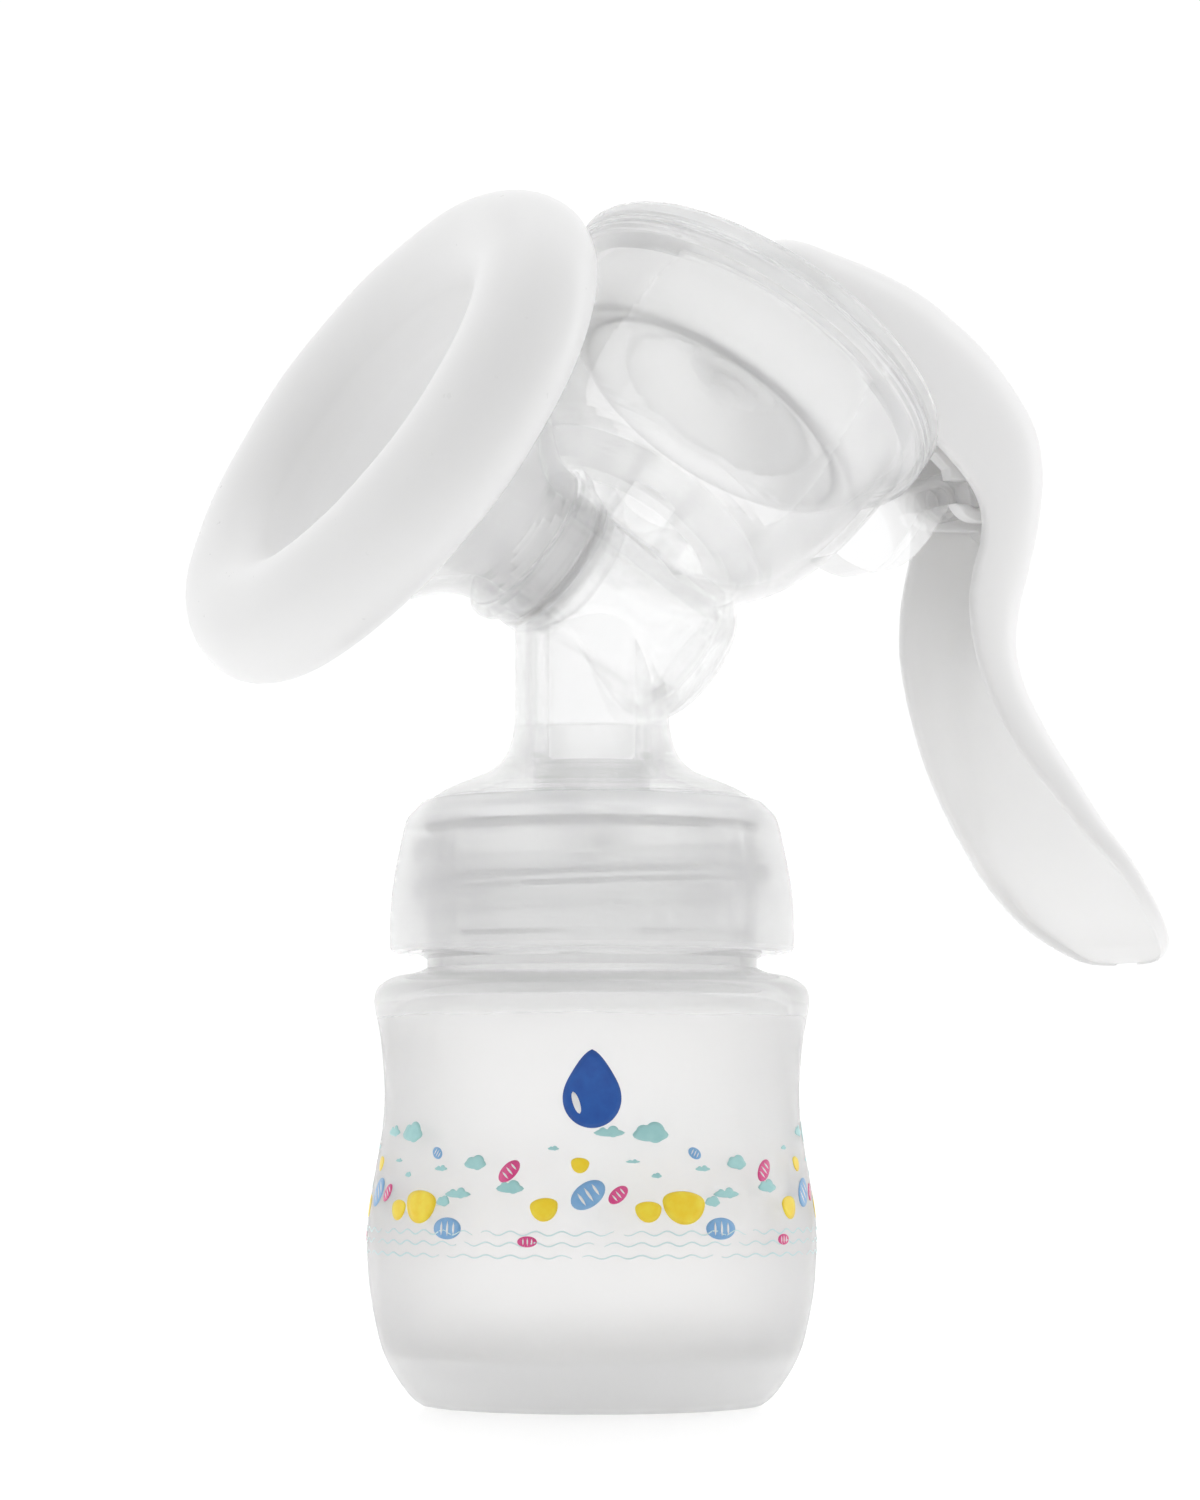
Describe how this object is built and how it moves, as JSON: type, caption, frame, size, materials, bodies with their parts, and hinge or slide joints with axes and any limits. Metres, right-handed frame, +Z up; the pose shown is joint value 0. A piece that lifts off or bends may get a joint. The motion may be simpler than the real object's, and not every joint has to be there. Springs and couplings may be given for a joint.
{
  "type": "breast pump",
  "caption": "Manual breast pump: lever over a clear diaphragm cup, cushioned horn, and a waisted wide-neck milk bottle under a screw ring.",
  "frame": {"origin": "centre of the bottle's flat base, on the table", "axes": "+Z up along the bottle's axis; the horn points to -X, the lever to +X; XZ is the object's plane of symmetry"},
  "size_m": [0.1617, 0.0876, 0.185],
  "materials": {
    "milky_plastic": "milky translucent polypropylene, satin gloss, with a printed band",
    "frosted_plastic": "frosted translucent polypropylene",
    "clear_plastic": "clear, slightly hazy polypropylene",
    "silicone": "translucent white silicone, satin",
    "white_silicone": "white silicone, matt",
    "white_plastic": "white polypropylene, satin gloss"
  },
  "bodies": {
    "bottle": {"bottle": "milky_plastic"},
    "pump_head": {"pump_body": "clear_plastic", "bottle_gasket": "silicone", "duckbill_valve": "white_silicone", "horn_shell": "clear_plastic", "socket_o_ring": "silicone", "cup_ring": "clear_plastic", "diaphragm": "silicone"},
    "screw_ring": {"screw_ring": "frosted_plastic"},
    "cushion": {"massage_cushion": "silicone"},
    "stem": {"diaphragm_stem": "white_plastic", "stem_retainer": "white_plastic"},
    "lever": {"handle": "white_plastic"}
  },
  "joints": [
    {"name": "head_lift", "type": "slide", "parent": "bottle", "child": "pump_head", "axis": [0, 0, 1], "range_m": [0, 0.012]},
    {"name": "ring_turn", "type": "hinge", "parent": "pump_head", "child": "screw_ring", "pos_m": [0, 0, 0.08], "axis": [0, 0, 1], "range_deg": [0, 720]},
    {"name": "lever_squeeze", "type": "hinge", "parent": "pump_head", "child": "lever", "pos_m": [0.066, 0, 0.143], "axis": [0, 1, 0], "range_deg": [0, 16], "stiffness_Nm_per_rad": 1.2, "springref_deg": -6.88},
    {"name": "stem_lift", "type": "slide", "parent": "pump_head", "child": "stem", "axis": [0.5906, 0, 0.807], "range_m": [0, 0.013], "deforming": ["diaphragm"]},
    {"name": "cushion_pull", "type": "slide", "parent": "pump_head", "child": "cushion", "axis": [-0.8513, 0, 0.5247], "range_m": [0, 0.045]}
  ],
  "couplings": [
    {"joint": "ring_turn", "follows": "head_lift", "rad_per_m": 1047.2},
    {"joint": "stem_lift", "follows": "lever_squeeze", "m_per_rad": 0.0455}
  ]
}
